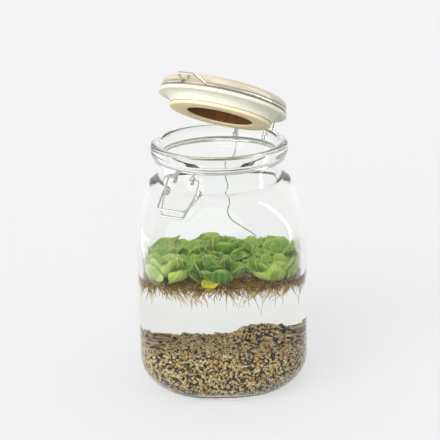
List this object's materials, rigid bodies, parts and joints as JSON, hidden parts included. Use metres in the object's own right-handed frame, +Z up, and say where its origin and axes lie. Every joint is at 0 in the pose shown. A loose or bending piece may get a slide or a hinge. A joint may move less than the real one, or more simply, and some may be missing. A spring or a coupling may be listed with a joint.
{
  "type": "glass plant terrarium",
  "caption": "Clip-top glass jar planted as a water terrarium: sloping gravel, water, floating leaf rosettes with hanging roots, and a hinged ceramic lid held partly open.",
  "frame": {"origin": "centre of the jar's flat round foot, on the plane it stands on", "axes": "+Z up, -Y out of the jar's front face, +X to the right seen from the front; the latch is 30.5 degrees round from the front towards -X and the hinge is opposite it"},
  "size_m": [0.125, 0.1309, 0.2421],
  "materials": {
    "glass": "clear moulded glass, smooth",
    "water": "clear still water",
    "gravel": "wet mixed tan gravel, matt",
    "leaves": "soft velvety green leaf",
    "roots": "fine brown feathery roots",
    "steel": "bright drawn stainless wire",
    "ceramic": "cream glaze, glossy, with a bare brown clay recess below",
    "gasket": "off-white silicone, satin"
  },
  "bodies": {
    "jar": {"jar_glass": "glass", "gravel_bed": "gravel", "water": "water", "neck_wire": "steel", "rosette_1_leaves": "leaves", "rosette_2_leaves": "leaves", "rosette_3_leaves": "leaves", "rosette_4_leaves": "leaves", "rosette_5_leaves": "leaves", "rosette_6_leaves": "leaves", "rosette_7_leaves": "leaves", "rosette_8_leaves": "leaves", "rosette_9_leaves": "leaves", "rosette_1_roots": "roots", "rosette_2_roots": "roots", "rosette_3_roots": "roots", "rosette_4_roots": "roots", "rosette_5_roots": "roots", "rosette_6_roots": "roots", "rosette_7_roots": "roots", "rosette_8_roots": "roots", "rosette_9_roots": "roots"},
    "lid": {"lid_ceramic": "ceramic", "lid_gasket": "gasket", "lid_wire": "steel"},
    "lever": {"latch_lever": "steel"},
    "bail": {"latch_bail": "steel"}
  },
  "joints": [
    {"name": "lid_hinge", "type": "hinge", "parent": "jar", "child": "lid", "pos_m": [0.02639, 0.0448, 0.174], "axis": [-0.8616, 0.5075, 0], "range_deg": [-27.5, 75]},
    {"name": "lever_pivot", "type": "hinge", "parent": "jar", "child": "lever", "pos_m": [-0.02548, -0.04325, 0.1672], "axis": [-0.8616, 0.5075, 0], "range_deg": [0, 80]},
    {"name": "bail_pivot", "type": "hinge", "parent": "lever", "child": "bail", "pos_m": [-0.02619, -0.04446, 0.1576], "axis": [-0.8616, 0.5075, 0], "range_deg": [0, 40]}
  ]
}
